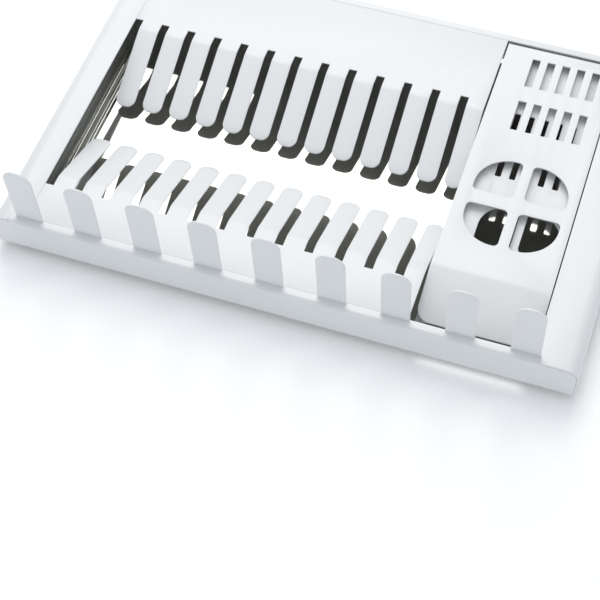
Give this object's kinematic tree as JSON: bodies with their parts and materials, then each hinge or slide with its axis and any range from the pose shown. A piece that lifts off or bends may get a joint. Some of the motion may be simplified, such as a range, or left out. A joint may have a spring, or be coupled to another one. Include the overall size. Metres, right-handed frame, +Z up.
{
  "type": "bottle drying rack",
  "caption": "Low folded-steel drying rack with facing plate combs, a row of upright bottle hooks, a lift-out utensil holder and a slide-out drip tray.",
  "frame": {"origin": "middle of the footprint, on the worktop that the feet and tray pads stand on", "axes": "+X along the row of hooks towards the utensil holder, +Y from the hooks to the rear, +Z up"},
  "size_m": [0.45, 0.3, 0.0953],
  "materials": {
    "white_powder_coat": "satin white powder coat",
    "polished_tray": "bright polished stainless steel",
    "stainless_fasteners": "plain stainless steel",
    "grey_rubber": "matt grey rubber",
    "clear_silicone": "translucent silicone"
  },
  "bodies": {
    "frame": {"left_side_panel": "white_powder_coat", "right_side_panel": "white_powder_coat", "front_comb_deck": "white_powder_coat", "rear_comb_deck": "white_powder_coat", "front_hook_panel": "white_powder_coat", "rear_skirt_panel": "white_powder_coat", "holder_rail_left": "white_powder_coat", "holder_rail_right": "white_powder_coat", "foot_screws": "stainless_fasteners", "tray_guide_left": "polished_tray", "tray_guide_right": "polished_tray", "rubber_foot_front_left": "grey_rubber", "rubber_foot_front_right": "grey_rubber", "rubber_foot_rear_left": "grey_rubber", "rubber_foot_rear_right": "grey_rubber", "foot_bracket_front_left": "white_powder_coat", "foot_bracket_front_right": "white_powder_coat", "foot_bracket_rear_left": "white_powder_coat", "foot_bracket_rear_right": "white_powder_coat", "corner_gusset_front_left": "white_powder_coat", "corner_gusset_front_right": "white_powder_coat", "corner_gusset_rear_left": "white_powder_coat", "corner_gusset_rear_right": "white_powder_coat"},
    "utensil_holder": {"utensil_cover": "white_powder_coat", "utensil_grid": "white_powder_coat", "grid_rivets": "stainless_fasteners"},
    "tray": {"drip_tray": "polished_tray", "tray_pad_front_left": "clear_silicone", "tray_pad_front_right": "clear_silicone", "tray_pad_rear_left": "clear_silicone", "tray_pad_rear_right": "clear_silicone"}
  },
  "joints": [
    {"name": "holder_lift", "type": "slide", "parent": "frame", "child": "utensil_holder", "axis": [0, 0, 1], "range_m": [0, 0.08]},
    {"name": "tray_slide", "type": "slide", "parent": "frame", "child": "tray", "axis": [0, 1, 0], "range_m": [0, 0.24]}
  ]
}
